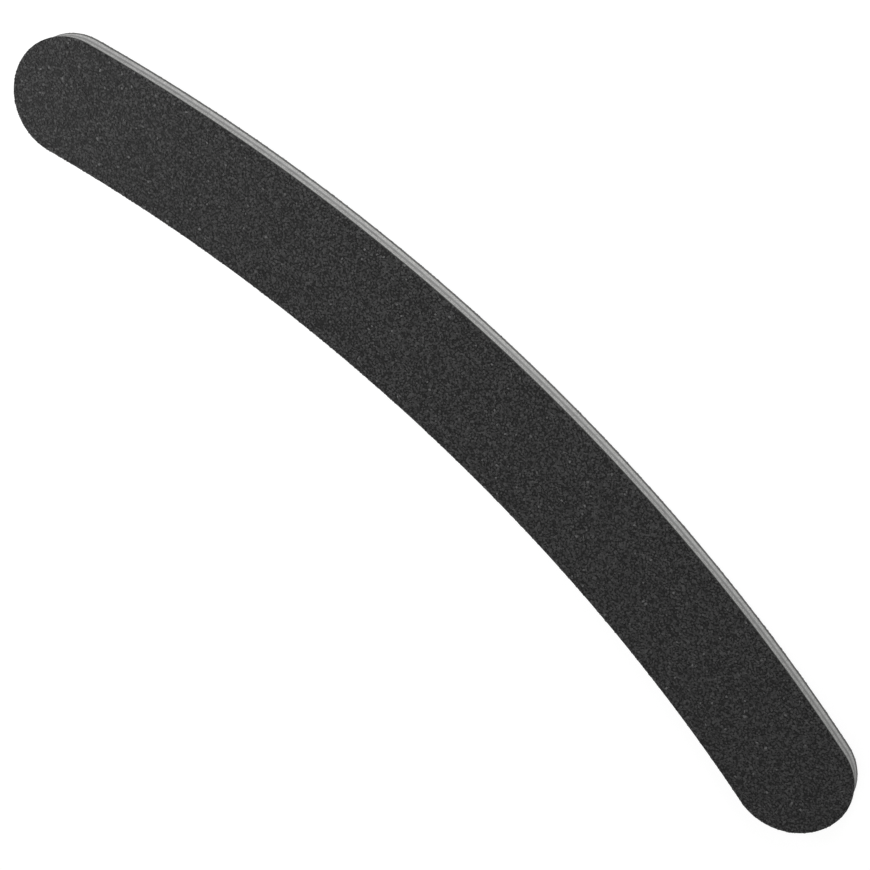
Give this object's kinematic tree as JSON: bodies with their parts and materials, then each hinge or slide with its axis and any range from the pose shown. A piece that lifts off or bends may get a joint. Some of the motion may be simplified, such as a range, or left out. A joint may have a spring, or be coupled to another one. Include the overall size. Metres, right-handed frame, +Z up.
{
  "type": "emery board",
  "caption": "Curved double-sided nail file: abrasive paper on both faces of a foam-cushioned strip with a stiff plastic core.",
  "frame": {"origin": "middle of the board's overall box, at the level of the lower abrasive face that it lies on", "axes": "+X along the board's chord from one tip to the other, +Y towards the bulging long edge, +Z up, square to the abrasive faces"},
  "size_m": [0.178, 0.0297, 0.004],
  "materials": {
    "abrasive_coat": "matte",
    "backing_paper": "matte",
    "sheet_glue": "satin",
    "cushion_foam": "matte",
    "core_glue": "satin",
    "core_plastic": "matte"
  },
  "bodies": {
    "root": {"bottom_grit": "abrasive_coat", "bottom_paper": "backing_paper", "bottom_sheet_glue": "sheet_glue", "bottom_foam": "cushion_foam", "bottom_core_glue": "core_glue", "core": "core_plastic", "top_core_glue": "core_glue", "top_foam": "cushion_foam", "top_sheet_glue": "sheet_glue", "top_paper": "backing_paper", "top_grit": "abrasive_coat"}
  },
  "joints": []
}
